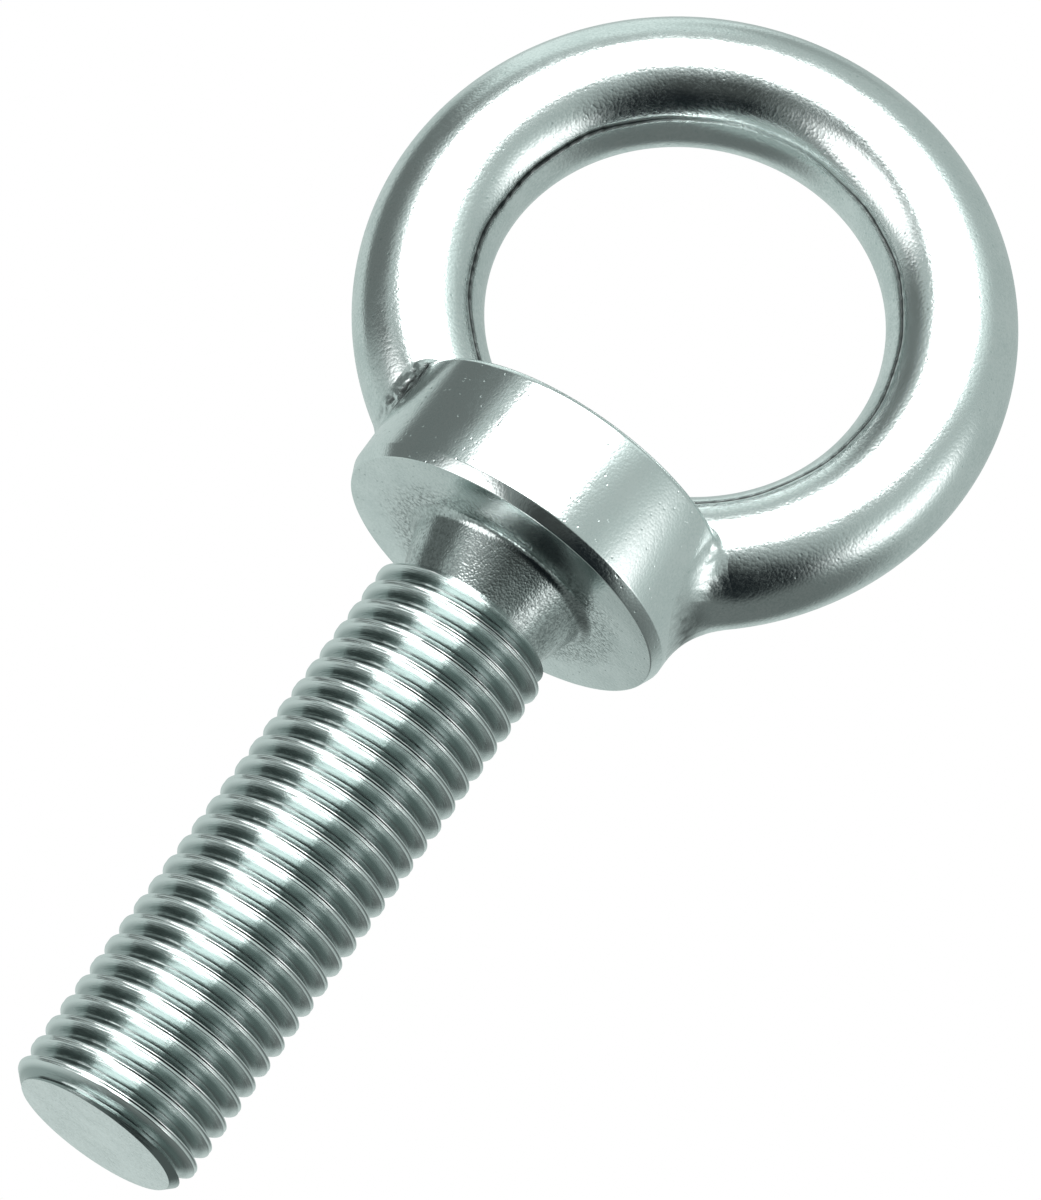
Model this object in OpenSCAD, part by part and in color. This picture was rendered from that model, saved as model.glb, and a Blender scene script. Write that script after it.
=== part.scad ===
// Forged lifting eye bolt: a round eye over a thick round collar on a long threaded shank.
// It is one forging, drawn as the regions it is forged, turned and threaded in, so that each
// region is a solid of its own and meets the next one face to face.
// Millimetres. The origin is the centre of the collar's seating face, +Z runs along the bolt
// axis towards the eye, the eye's own axis is Y, and the shank points towards -Z.

/* [Thread] */
// Nominal (major) diameter of the coarse thread
thread_d = 20; // [18:1:22]
// Thread pitch
pitch = 2.5; // [2:0.25:3]
// Length from the seating face to the flat end of the shank
shank_len = 71; // [50:1:100]
// Length of the 45 degree chamfer on the end of the shank
point_len = 1.4; // [1:0.2:1.8]

/* [Neck] */
// Length of the unthreaded neck below the seating face
neck_len = 6.25; // [5.25:1:8.25]
// Diameter of the neck where the thread runs out
neck_d = 16.2; // [15.5:0.1:16.8]
// Radius of the concave fillet from the neck to the seating face
neck_fillet_r = 2.2; // [1.5:0.1:4]

/* [Collar] */
// Diameter of the collar
collar_d = 37; // [35:1:40]
// Height of the collar
collar_h = 13; // [12:0.5:13.5]
// Radius of the collar's rounded lower edge
collar_round_r = 0.8; // [0.5:0.1:1.5]
// Chamfer on the collar's upper edge
collar_chamfer = 0.5; // [0.3:0.1:1]

/* [Eye] */
// Inside diameter of the eye
eye_id = 41; // [39:0.5:41.5]
// Diameter of the eye's round section
eye_wire_d = 13.5; // [12:0.5:13.5]
// Height of the eye's centre above the seating face
eye_centre_h = 34.5; // [34.5:0.5:36]
// Radius of the forged fillet under each leg of the eye
root_fillet_r = 7; // [6:0.5:8]

/* [Hidden] */
$fn = 180;

// Basic thread profile: 60 degree flanks, crests cut flat and roots left as wide as the tool
thread_r = thread_d / 2;
thread_depth = 0.6134 * pitch;
thread_root_r = thread_r - thread_depth;
crest_half = pitch / 16;
root_half = pitch / 2 - crest_half - thread_depth * tan(30);
thread_len = shank_len - neck_len;
thread_turns = ceil(thread_len / pitch);

neck_r = neck_d / 2;
neck_foot_r = neck_r + neck_fillet_r;
// The neck's region reaches this far up inside the collar
neck_spigot = 4;

collar_r = collar_d / 2;

eye_wire_r = eye_wire_d / 2;
eye_ring_r = eye_id / 2 + eye_wire_r;
eye_outer_r = eye_ring_r + eye_wire_r;

// The fillet under a leg bites a little into the eye and the collar, so no surfaces only graze
root_bite = 0.25;
root_centre_r = collar_r + root_fillet_r - root_bite;
root_centre_h = eye_centre_h
              - sqrt(pow(eye_outer_r + root_fillet_r - root_bite, 2) - pow(root_centre_r, 2));
root_touch = eye_outer_r / (eye_outer_r + root_fillet_r - root_bite);
root_top_h = eye_centre_h - (eye_centre_h - root_centre_h) * root_touch;
root_reach_r = root_centre_r * root_touch;
// Each root is round in plan and round underneath
root_plan_in = 2;
root_plan_r = root_reach_r - collar_r + root_plan_in;
root_under_r = 0.75 * eye_wire_r;

steel = [0.70, 0.74, 0.73];
turned_steel = [0.62, 0.66, 0.65];

// Outer shape of the collar, before the neck's region is taken out of it
module collar_blank() {
    rotate_extrude() {
        translate([0, collar_round_r])
            square([collar_r, collar_h - collar_chamfer - collar_round_r]);
        square([collar_r - collar_round_r, collar_round_r]);
        translate([collar_r - collar_round_r, collar_round_r])
            circle(collar_round_r);
        polygon([
            [0, collar_h - collar_chamfer],
            [collar_r, collar_h - collar_chamfer],
            [collar_r - collar_chamfer, collar_h],
            [0, collar_h]
        ]);
    }
}

// The whole round ring of the eye, before the collar is taken out of it
module eye_ring() {
    translate([0, 0, eye_centre_h])
        rotate([90, 0, 0])
            rotate_extrude()
                translate([eye_ring_r, 0])
                    circle(eye_wire_r);
}

// A flare round the collar's side with a concave outline
module root_flare() {
    rotate_extrude()
        difference() {
            translate([collar_r - 1, root_centre_h])
                square([root_fillet_r + 1 - root_bite, eye_wire_d]);
            translate([root_centre_r, root_centre_h])
                circle(root_fillet_r);
        }
}

// The space that the two roots take up, one on each side of the collar
module root_limits() {
    intersection() {
        translate([0, 0, root_top_h])
            rotate([0, 90, 0])
                cylinder(r = root_under_r, h = 3 * collar_d, center = true);
        for (side = [-1, 1])
            translate([side * (collar_r - root_plan_in), 0, 0])
                cylinder(r = root_plan_r, h = eye_centre_h);
    }
}

module lifting_eye() {
    color(steel)
        difference() {
            eye_ring();
            collar_blank();
        }
}

module eye_roots() {
    color(steel)
        difference() {
            intersection() {
                root_flare();
                root_limits();
            }
            eye_ring();
            collar_blank();
        }
}

module collar() {
    color(steel)
        difference() {
            collar_blank();
            translate([0, 0, -1])
                cylinder(r = neck_foot_r, h = neck_spigot + 1);
        }
}

module neck() {
    color(steel)
        rotate_extrude() {
            square([neck_foot_r, neck_spigot]);
            difference() {
                translate([0, -neck_fillet_r])
                    square([neck_foot_r, neck_fillet_r]);
                translate([neck_foot_r, -neck_fillet_r])
                    circle(neck_fillet_r);
            }
            translate([0, -neck_len])
                square([neck_r, neck_len - neck_fillet_r]);
        }
}

// Outline of one thread ridge whose crest is at height z, from its lower root to its upper one
function ridge(z) = [
    [thread_root_r, z - pitch / 2 + root_half],
    [thread_r, z - crest_half],
    [thread_r, z + crest_half],
    [thread_root_r, z + pitch / 2 - root_half]
];

module threaded_rod() {
    crests = [for (i = [thread_turns - 1 : -1 : 0]) -neck_len - (i + 0.5) * pitch];
    rotate_extrude()
        polygon(concat(
            [[0, -neck_len - thread_turns * pitch], [thread_root_r, -neck_len - thread_turns * pitch]],
            [for (z = crests) each ridge(z)],
            [[thread_root_r, -neck_len], [0, -neck_len]]
        ));
}

module threaded_shank() {
    color(turned_steel)
        intersection() {
            threaded_rod();
            rotate_extrude()
                polygon([
                    [0, -shank_len],
                    [thread_r - point_len, -shank_len],
                    [thread_r + 1, -shank_len + point_len + 1],
                    [thread_r + 1, -neck_len + 1],
                    [0, -neck_len + 1]
                ]);
        }
}

lifting_eye();
eye_roots();
collar();
neck();
threaded_shank();
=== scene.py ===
import logging
import math
from collections.abc import Callable, Iterable, Sequence
from dataclasses import dataclass, field
from enum import Enum

import bmesh
import bpy
import numpy as np
from mathutils import Matrix, Vector, noise


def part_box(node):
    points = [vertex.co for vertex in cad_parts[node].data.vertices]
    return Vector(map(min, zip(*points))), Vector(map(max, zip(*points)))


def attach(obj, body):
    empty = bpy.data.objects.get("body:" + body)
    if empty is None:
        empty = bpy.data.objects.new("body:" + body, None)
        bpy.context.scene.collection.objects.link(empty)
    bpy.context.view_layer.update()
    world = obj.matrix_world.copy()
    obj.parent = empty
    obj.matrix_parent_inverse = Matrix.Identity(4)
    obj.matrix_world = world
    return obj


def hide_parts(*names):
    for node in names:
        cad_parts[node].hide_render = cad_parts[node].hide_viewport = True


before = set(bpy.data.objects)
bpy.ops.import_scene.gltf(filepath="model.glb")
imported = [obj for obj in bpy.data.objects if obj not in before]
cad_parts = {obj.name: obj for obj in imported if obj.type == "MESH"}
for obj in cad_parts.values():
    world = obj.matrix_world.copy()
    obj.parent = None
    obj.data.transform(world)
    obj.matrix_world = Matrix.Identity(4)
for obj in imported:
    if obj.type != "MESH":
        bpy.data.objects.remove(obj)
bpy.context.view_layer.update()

# Looks of a forged lifting eye bolt. Lengths are metres unless a name ends in _mm, the collar's
# seating face is at z = 0, the eye stands above it round the Y axis and the shank points down.

LOG = logging.getLogger("eye_bolt")
MM = 0.001
FULL_TURN = 2 * math.pi
MERGE = 1e-6

Point = tuple[float, float]
Colour = tuple[float, float, float]


class Slot(Enum):
    """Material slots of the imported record."""

    POLISHED = "polished_steel"
    TURNED = "turned_steel"
    THREAD = "thread_steel"


class PanelShape(Enum):
    """Outline of a studio panel as the steel sees it."""

    ROUND = "round"
    SQUARE = "square"


# ------------------------------------------------------------------ sizes from the CAD model


@dataclass(frozen=True)
class BoltSizes:
    """Main sizes, all read from the CAD nodes' boxes."""

    eye_outer: float
    eye_wire: float
    eye_ring: float
    eye_height: float
    collar_radius: float
    collar_height: float
    foot_radius: float
    neck_end: float
    thread_radius: float
    tip: float

    @classmethod
    def from_frame(cls) -> "BoltSizes":
        """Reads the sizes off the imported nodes.

        Returns:
            The sizes in metres.
        """
        eye_low, eye_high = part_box("lifting_eye")
        _, collar_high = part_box("collar")
        neck_low, neck_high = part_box("neck")
        shank_low, shank_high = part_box("threaded_shank")
        outer, wire = eye_high.x, eye_high.y
        return cls(
            eye_outer=outer,
            eye_wire=wire,
            eye_ring=outer - wire,
            eye_height=eye_high.z - outer,
            collar_radius=collar_high.x,
            collar_height=collar_high.z,
            foot_radius=neck_high.x,
            neck_end=neck_low.z,
            thread_radius=shank_high.x,
            tip=shank_low.z,
        )


# ------------------------------------------------------------------ modelling helpers


def leave_edit_mode() -> None:
    """Returns to object mode with nothing selected."""
    if bpy.context.object is not None and bpy.context.object.mode != "OBJECT":
        bpy.ops.object.mode_set(mode="OBJECT")
    bpy.ops.object.select_all(action="DESELECT")


def make_active(piece: bpy.types.Object) -> None:
    """Selects one piece alone and makes it the active one.

    Args:
        piece: The piece to work on.
    """
    leave_edit_mode()
    piece.select_set(True)
    bpy.context.view_layer.objects.active = piece


def edit(piece: bpy.types.Object, kind: str = "VERT") -> None:
    """Enters edit mode on a piece.

    Args:
        piece: The piece to edit.
        kind: What is selected: VERT, EDGE or FACE.
    """
    make_active(piece)
    bpy.ops.object.mode_set(mode="EDIT")
    bpy.ops.mesh.select_mode(type=kind)
    bpy.ops.mesh.select_all(action="DESELECT")


def pick_edges(piece: bpy.types.Object, test: Callable[[Vector], bool]) -> None:
    """Selects the edges whose both ends pass a test, and stays in edit mode.

    Args:
        piece: The piece being edited.
        test: Says whether a vertex position belongs.
    """
    edit(piece, "EDGE")
    shape = bmesh.from_edit_mesh(piece.data)
    for edge in shape.edges:
        edge.select = all(test(v.co) for v in edge.verts)
    bmesh.update_edit_mesh(piece.data)


def pick_faces(piece: bpy.types.Object, test: Callable[[bmesh.types.BMFace], bool]) -> None:
    """Selects the faces that pass a test, and stays in edit mode.

    Args:
        piece: The piece being edited.
        test: Says whether a face belongs.
    """
    edit(piece, "FACE")
    shape = bmesh.from_edit_mesh(piece.data)
    shape.faces.ensure_lookup_table()
    for face in shape.faces:
        face.select_set(test(face))
    bmesh.update_edit_mesh(piece.data)


def close_up(piece: bpy.types.Object, reach: float = MERGE) -> None:
    """Merges doubled vertices and turns all faces outward.

    Args:
        piece: The piece to tidy.
        reach: Vertices closer than this become one.
    """
    edit(piece)
    bpy.ops.mesh.select_all(action="SELECT")
    bpy.ops.mesh.remove_doubles(threshold=reach)
    bpy.ops.mesh.normals_make_consistent(inside=False)
    leave_edit_mode()


def shade(piece: bpy.types.Object, crease_deg: float) -> None:
    """Shades a piece smooth up to a crease angle.

    Args:
        piece: The piece to shade.
        crease_deg: Edges sharper than this stay crisp.
    """
    make_active(piece)
    bpy.ops.object.shade_smooth_by_angle(angle=math.radians(crease_deg))
    leave_edit_mode()


def draw_profile(name: str, points: Sequence[Point]) -> bpy.types.Object:
    """Draws a chain of edges in the XZ plane by extruding one vertex from point to point.

    Args:
        name: Name of the new object.
        points: (radius, height) of each point in metres.

    Returns:
        The new object, at the origin.
    """
    leave_edit_mode()
    first = points[0]
    bpy.ops.mesh.primitive_plane_add(size=MM, location=(first[0], 0.0, first[1]))
    piece = bpy.context.object
    piece.name = piece.data.name = name
    bpy.ops.object.transform_apply(location=True, rotation=True, scale=True)
    bpy.ops.object.mode_set(mode="EDIT")
    bpy.ops.mesh.select_mode(type="VERT")
    bpy.ops.mesh.select_all(action="SELECT")
    bpy.ops.mesh.merge(type="CENTER")
    for here, there in zip(points, points[1:]):
        step = (there[0] - here[0], 0.0, there[1] - here[1])
        bpy.ops.mesh.extrude_vertices_move(TRANSFORM_OT_translate={"value": step})
    leave_edit_mode()
    return piece


def turn(name: str, points: Sequence[Point], steps: int = 224) -> bpy.types.Object:
    """Turns a profile into a closed solid round the Z axis, as on a lathe.

    Args:
        name: Name of the new piece.
        points: (radius, height) of the outline in metres, from axis to axis.
        steps: Number of segments round the axis.

    Returns:
        The turned piece.
    """
    piece = draw_profile(name, points)
    edit(piece)
    bpy.ops.mesh.select_all(action="SELECT")
    bpy.ops.mesh.spin(steps=steps, angle=FULL_TURN, center=(0, 0, 0), axis=(0, 0, 1))
    close_up(piece)
    return piece


def cut_with(piece: bpy.types.Object, tool: bpy.types.Object, operation: str) -> None:
    """Cuts a piece with a tool by a boolean modifier, then discards the tool.

    Args:
        piece: The piece that is cut.
        tool: The closed solid that cuts it.
        operation: DIFFERENCE or INTERSECT.
    """
    make_active(piece)
    bpy.ops.object.modifier_add(type="BOOLEAN")
    cutter = piece.modifiers[-1]
    cutter.operation, cutter.solver, cutter.object = operation, "EXACT", tool
    bpy.ops.object.modifier_apply(modifier=cutter.name)
    bpy.data.objects.remove(tool)


def arc(centre: Point, radius: float, start_deg: float, end_deg: float, steps: int) -> list[Point]:
    """Points along a circular arc in the (radius, height) plane.

    Args:
        centre: Centre of the arc.
        radius: Its radius.
        start_deg: Start angle, 0 pointing outward and 90 up.
        end_deg: End angle.
        steps: Number of segments.

    Returns:
        steps + 1 points.
    """
    angles = (math.radians(start_deg + (end_deg - start_deg) * i / steps) for i in range(steps + 1))
    return [(centre[0] + radius * math.cos(a), centre[1] + radius * math.sin(a)) for a in angles]


# ------------------------------------------------------------------ node helpers


class NodeBench:
    """Adds and wires nodes in one node tree."""

    def __init__(self, tree: bpy.types.NodeTree) -> None:
        """Starts on an emptied tree."""
        self.tree = tree
        tree.nodes.clear()

    def add(self, kind: str, **settings: object) -> bpy.types.Node:
        """Adds a node.

        Args:
            kind: Blender's type name of the node.
            **settings: Attributes to set on it.

        Returns:
            The new node.
        """
        node = self.tree.nodes.new(kind)
        for key, value in settings.items():
            setattr(node, key, value)
        return node

    def feed(self, socket: bpy.types.NodeSocket, value: object) -> None:
        """Links a socket to another one, or sets its value."""
        if isinstance(value, bpy.types.NodeSocket):
            self.tree.links.new(value, socket)
        else:
            socket.default_value = value

    def math(self, operation: str, *values: object, clamp: bool = False) -> bpy.types.NodeSocket:
        """Adds a Math node.

        Args:
            operation: Its operation.
            *values: Numbers or sockets for its inputs.
            clamp: Whether its result is kept within 0 to 1.

        Returns:
            Its output socket.
        """
        node = self.add("ShaderNodeMath", operation=operation, use_clamp=clamp)
        for socket, value in zip(node.inputs, values):
            self.feed(socket, value)
        return node.outputs[0]

    def vector(self, operation: str, *values: object, out: str = "Vector") -> bpy.types.NodeSocket:
        """Adds a Vector Math node.

        Args:
            operation: Its operation.
            *values: Vectors or sockets for its inputs.
            out: Name of the output that is wanted.

        Returns:
            That output socket.
        """
        node = self.add("ShaderNodeVectorMath", operation=operation)
        for socket, value in zip(node.inputs, values):
            self.feed(socket, value)
        return node.outputs[out]

    def blend(self, amount: object, low: object, high: object) -> bpy.types.NodeSocket:
        """Mixes two colours.

        Args:
            amount: 0 gives low and 1 gives high.
            low: Colour or socket.
            high: Colour or socket.

        Returns:
            The mixed colour.
        """
        node = self.add("ShaderNodeMix", data_type="RGBA")
        self.feed(node.inputs["Factor"], amount)
        colour_ins = [s for s in node.inputs if s.type == "RGBA"]
        self.feed(colour_ins[0], low)
        self.feed(colour_ins[1], high)
        return next(s for s in node.outputs if s.type == "RGBA")

    def span(self, value: object, source: Point, target: Point = (0.0, 1.0), smooth: bool = True) -> bpy.types.NodeSocket:
        """Maps one range to another.

        Args:
            value: Number or socket to map.
            source: Range it comes from.
            target: Range it goes to.
            smooth: Smoothstep instead of linear.

        Returns:
            The mapped value.
        """
        node = self.add("ShaderNodeMapRange", interpolation_type="SMOOTHSTEP" if smooth else "LINEAR")
        for socket, number in zip(node.inputs, (value, *source, *target)):
            self.feed(socket, number)
        return node.outputs[0]

    def speckle(self, vector: object, scale: object, detail: float = 2.0, roughness: float = 0.5) -> bpy.types.NodeSocket:
        """Adds a noise texture.

        Args:
            vector: Where it is read.
            scale: Cells per metre.
            detail: Octaves.
            roughness: Strength of the finer octaves.

        Returns:
            Its value.
        """
        node = self.add("ShaderNodeTexNoise")
        for name, value in (("Vector", vector), ("Scale", scale), ("Detail", detail), ("Roughness", roughness)):
            self.feed(node.inputs[name], value)
        return node.outputs[0]


def open_group(name: str, inputs: Iterable[tuple[str, str, float]], outputs: Iterable[tuple[str, str]]) -> tuple[bpy.types.NodeTree, NodeBench, bpy.types.Node, bpy.types.Node]:
    """Makes an empty shader node group with its sockets.

    Args:
        name: Name of the group.
        inputs: (name, socket type, default) of each input; the default is used for numbers only.
        outputs: (name, socket type) of each output.

    Returns:
        The tree, its bench, and its input and output nodes.
    """
    tree = bpy.data.node_groups.new(name, "ShaderNodeTree")
    for label, kind, default in inputs:
        socket = tree.interface.new_socket(label, in_out="INPUT", socket_type=kind)
        if kind == "NodeSocketFloat":
            socket.default_value = default
    for label, kind in outputs:
        tree.interface.new_socket(label, in_out="OUTPUT", socket_type=kind)
    bench = NodeBench(tree)
    return tree, bench, bench.add("NodeGroupInput"), bench.add("NodeGroupOutput")


FLOAT, VECTOR, COLOUR = "NodeSocketFloat", "NodeSocketVector", "NodeSocketColor"


class SurfaceEffects:
    """The shader node groups that the bolt's finishes share."""

    def __init__(self) -> None:
        """Builds every group once."""
        self.grain = self._grain()
        self.ripple = self._ripple()
        self.haze = self._haze()
        self.thread_lines = self._thread_lines()
        self.neck_zone = self._neck_zone()

    @staticmethod
    def _grain() -> bpy.types.NodeTree:
        """Fine grain of a tumbled forging, with sparse pits, as a height.

        Returns:
            The group.
        """
        tree, b, given, out = open_group(
            "tumbled grain",
            [("Vector", VECTOR, 0), ("Cells per metre", FLOAT, 2600), ("Grain height", FLOAT, 1), ("Pit depth", FLOAT, 1), ("Domes", FLOAT, 1)],
            [("Height", FLOAT), ("Pits", FLOAT)],
        )
        cells = given.outputs["Cells per metre"]
        fine = b.speckle(given.outputs["Vector"], b.math("MULTIPLY", cells, 1.3), detail=3.0, roughness=0.65)
        wide = b.speckle(given.outputs["Vector"], b.math("MULTIPLY", cells, 0.23), detail=1.5)
        grain = b.math("ADD", b.math("MULTIPLY", fine, 0.8), b.math("MULTIPLY", wide, 0.9))
        domes = b.add("ShaderNodeTexVoronoi", feature="SMOOTH_F1")
        b.feed(domes.inputs["Vector"], given.outputs["Vector"])
        b.feed(domes.inputs["Scale"], cells)
        b.feed(domes.inputs["Smoothness"], 0.25)
        drop = b.math("MULTIPLY", domes.outputs["Distance"], domes.outputs["Distance"])
        grain = b.math("SUBTRACT", grain, b.math("MULTIPLY", drop, given.outputs["Domes"]))
        pits = b.add("ShaderNodeTexVoronoi", feature="F1")
        b.feed(pits.inputs["Vector"], given.outputs["Vector"])
        b.feed(pits.inputs["Scale"], b.math("MULTIPLY", cells, 0.42))
        hole = b.span(pits.outputs["Distance"], (0.24, 0.06))
        chance = b.add("ShaderNodeSeparateColor")
        b.feed(chance.inputs[0], pits.outputs["Color"])
        hole = b.math("MULTIPLY", hole, b.math("GREATER_THAN", chance.outputs[0], 0.72))
        height = b.math("MULTIPLY", grain, given.outputs["Grain height"])
        sunk = b.math("MULTIPLY", hole, given.outputs["Pit depth"])
        b.feed(out.inputs["Height"], b.math("SUBTRACT", height, sunk))
        b.feed(out.inputs["Pits"], hole)
        return tree

    @staticmethod
    def _ripple() -> bpy.types.NodeTree:
        """Slow waviness that hand polishing leaves, as a height.

        Returns:
            The group.
        """
        tree, b, given, out = open_group(
            "polishing ripple",
            [("Vector", VECTOR, 0), ("Cells per metre", FLOAT, 130)],
            [("Height", FLOAT)],
        )
        cells = given.outputs["Cells per metre"]
        slow = b.speckle(given.outputs["Vector"], cells, detail=1.0)
        quick = b.speckle(given.outputs["Vector"], b.math("MULTIPLY", cells, 3.1), detail=1.0)
        b.feed(out.inputs["Height"], b.math("ADD", slow, b.math("MULTIPLY", quick, 0.12)))
        return tree

    @staticmethod
    def _haze() -> bpy.types.NodeTree:
        """Uneven gloss and tone from handling and polishing.

        Returns:
            The group.
        """
        tree, b, given, out = open_group(
            "handling haze",
            [("Vector", VECTOR, 0), ("Bright", COLOUR, 0), ("Dull", COLOUR, 0), ("Smooth", FLOAT, 0.1), ("Rough", FLOAT, 0.3), ("Pits", FLOAT, 0)],
            [("Color", COLOUR), ("Roughness", FLOAT)],
        )
        cloud = b.speckle(given.outputs["Vector"], 190.0, detail=5.0, roughness=0.66)
        fine = b.speckle(given.outputs["Vector"], 3400.0, detail=2.0, roughness=0.6)
        mask = b.span(b.math("ADD", b.math("MULTIPLY", cloud, 0.5), b.math("MULTIPLY", fine, 0.5)), (0.38, 0.62))
        tone = b.math("ADD", b.math("MULTIPLY", mask, 0.6), b.math("MULTIPLY", given.outputs["Pits"], 0.8), clamp=True)
        b.feed(out.inputs["Color"], b.blend(tone, given.outputs["Bright"], given.outputs["Dull"]))
        width = b.math("SUBTRACT", given.outputs["Rough"], given.outputs["Smooth"])
        b.feed(out.inputs["Roughness"], b.math("MULTIPLY_ADD", mask, width, given.outputs["Smooth"]))
        return tree

    @staticmethod
    def _neck_zone() -> bpy.types.NodeTree:
        """How near a point of the collar's underside is to the neck, from 0 to 1.

        Returns:
            The group.
        """
        tree, b, given, out = open_group(
            "around the neck",
            [("Vector", VECTOR, 0), ("Inner radius", FLOAT, 0.012), ("Outer radius", FLOAT, 0.016)],
            [("Mask", FLOAT)],
        )
        axes = b.add("ShaderNodeSeparateXYZ")
        b.feed(axes.inputs[0], given.outputs["Vector"])
        x, y, z = axes.outputs
        radius = b.math("SQRT", b.math("ADD", b.math("MULTIPLY", x, x), b.math("MULTIPLY", y, y)))
        ragged = b.speckle(given.outputs["Vector"], 420.0, detail=3.0)
        radius = b.math("ADD", radius, b.math("MULTIPLY_ADD", ragged, 0.004, -0.002))
        near = b.add("ShaderNodeMapRange", interpolation_type="SMOOTHSTEP")
        b.feed(near.inputs[0], radius)
        b.feed(near.inputs[1], given.outputs["Outer radius"])
        b.feed(near.inputs[2], given.outputs["Inner radius"])
        b.feed(out.inputs["Mask"], b.math("MULTIPLY", near.outputs[0], b.math("LESS_THAN", z, 0.0003)))
        return tree

    @staticmethod
    def _thread_lines() -> bpy.types.NodeTree:
        """Fine tool lines that follow the thread's helix, and how deep in the groove a point is.

        Returns:
            The group.
        """
        tree, b, given, out = open_group(
            "helical tool lines",
            [("Vector", VECTOR, 0), ("Pitch", FLOAT, 0.0025), ("Root radius", FLOAT, 0.0085), ("Crest radius", FLOAT, 0.01)],
            [("Height", FLOAT), ("Groove", FLOAT)],
        )
        axes = b.add("ShaderNodeSeparateXYZ")
        b.feed(axes.inputs[0], given.outputs["Vector"])
        x, y, z = axes.outputs
        radius = b.math("SQRT", b.math("ADD", b.math("MULTIPLY", x, x), b.math("MULTIPLY", y, y)))
        share = b.math("DIVIDE", b.math("ARCTAN2", y, x), FULL_TURN)
        climb = b.math("SUBTRACT", z, b.math("MULTIPLY", share, given.outputs["Pitch"]))
        place = b.add("ShaderNodeCombineXYZ")
        b.feed(place.inputs[0], b.math("MULTIPLY", radius, 9000.0))
        b.feed(place.inputs[1], b.math("MULTIPLY", climb, 9000.0))
        b.feed(place.inputs[2], b.math("MULTIPLY", share, 14.0))
        lines = b.speckle(place.outputs[0], 1.0, detail=2.0, roughness=0.7)
        b.feed(out.inputs["Height"], lines)
        groove = b.math("DIVIDE", b.math("SUBTRACT", given.outputs["Crest radius"], radius), b.math("SUBTRACT", given.outputs["Crest radius"], given.outputs["Root radius"]), clamp=True)
        b.feed(out.inputs["Groove"], groove)
        return tree


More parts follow.
